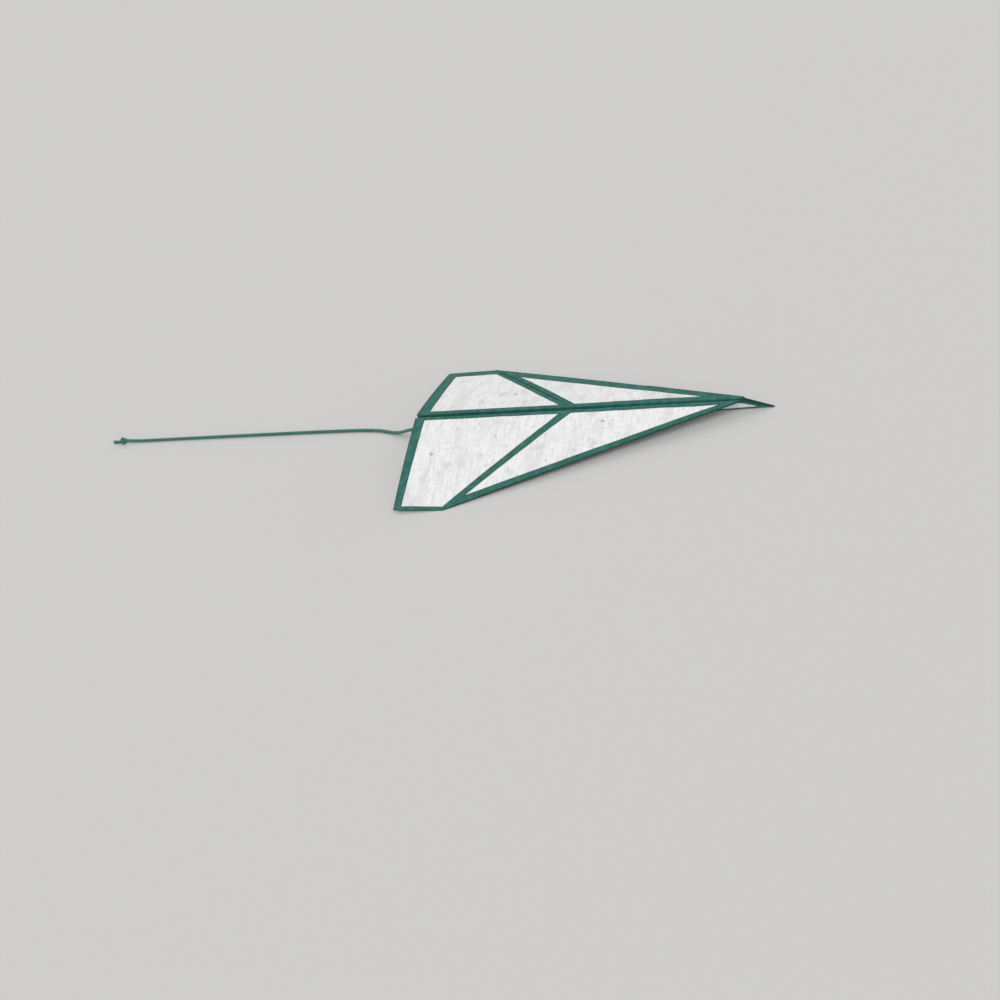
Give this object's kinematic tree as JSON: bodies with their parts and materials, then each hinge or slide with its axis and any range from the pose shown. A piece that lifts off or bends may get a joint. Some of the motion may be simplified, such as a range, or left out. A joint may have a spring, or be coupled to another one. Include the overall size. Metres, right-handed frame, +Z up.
{
  "type": "paper airplane",
  "caption": "Dart folded from one rectangular sheet, with a shallow keel, drooping wings with turned-in flaps, painted outlines, and a string trailing from the tail.",
  "frame": {"origin": "Centre of the folded paper's box, on the surface that the nose and both wing corners rest on; the string is left out of that box.", "axes": "+X towards the nose, +Y to the dart's left, +Z up"},
  "size_m": [0.649, 0.174, 0.0286],
  "materials": {
    "painted_paper": "matte drawing paper, brushed white with green painted outlines",
    "string": "matte twisted cotton twine, dyed green"
  },
  "bodies": {
    "right_keel": {"right_keel_sheet": "painted_paper", "right_keel_nose_tuck": "painted_paper", "right_keel_nose_fold": "painted_paper", "right_keel_flap": "painted_paper", "trailing_string": "string", "string_end_knot": "string", "string_free_end": "string"},
    "left_keel": {"left_keel_sheet": "painted_paper", "left_keel_nose_tuck": "painted_paper", "left_keel_nose_fold": "painted_paper", "left_keel_flap": "painted_paper"},
    "right_wing": {"right_wing_sheet": "painted_paper", "right_wing_nose_tuck": "painted_paper", "right_wing_nose_fold": "painted_paper", "right_wing_flap": "painted_paper"},
    "left_wing": {"left_wing_sheet": "painted_paper", "left_wing_nose_tuck": "painted_paper", "left_wing_nose_fold": "painted_paper", "left_wing_flap": "painted_paper"}
  },
  "joints": [
    {"name": "right_wing_crease", "type": "hinge", "parent": "right_keel", "child": "right_wing", "pos_m": [0.12793, -0.002, 0.01009], "axis": [-0.9978, 0, 0.0665], "range_deg": [-70, 107]},
    {"name": "keel_fold", "type": "hinge", "parent": "right_keel", "child": "left_keel", "pos_m": [0.15051, 0, -0.00022], "axis": [-0.9994, 0, 0.0356], "range_deg": [0, 10]},
    {"name": "left_wing_crease", "type": "hinge", "parent": "left_keel", "child": "left_wing", "pos_m": [0.12793, 0.002, 0.01009], "axis": [0.9978, 0, -0.0665], "range_deg": [-70, 107]}
  ]
}
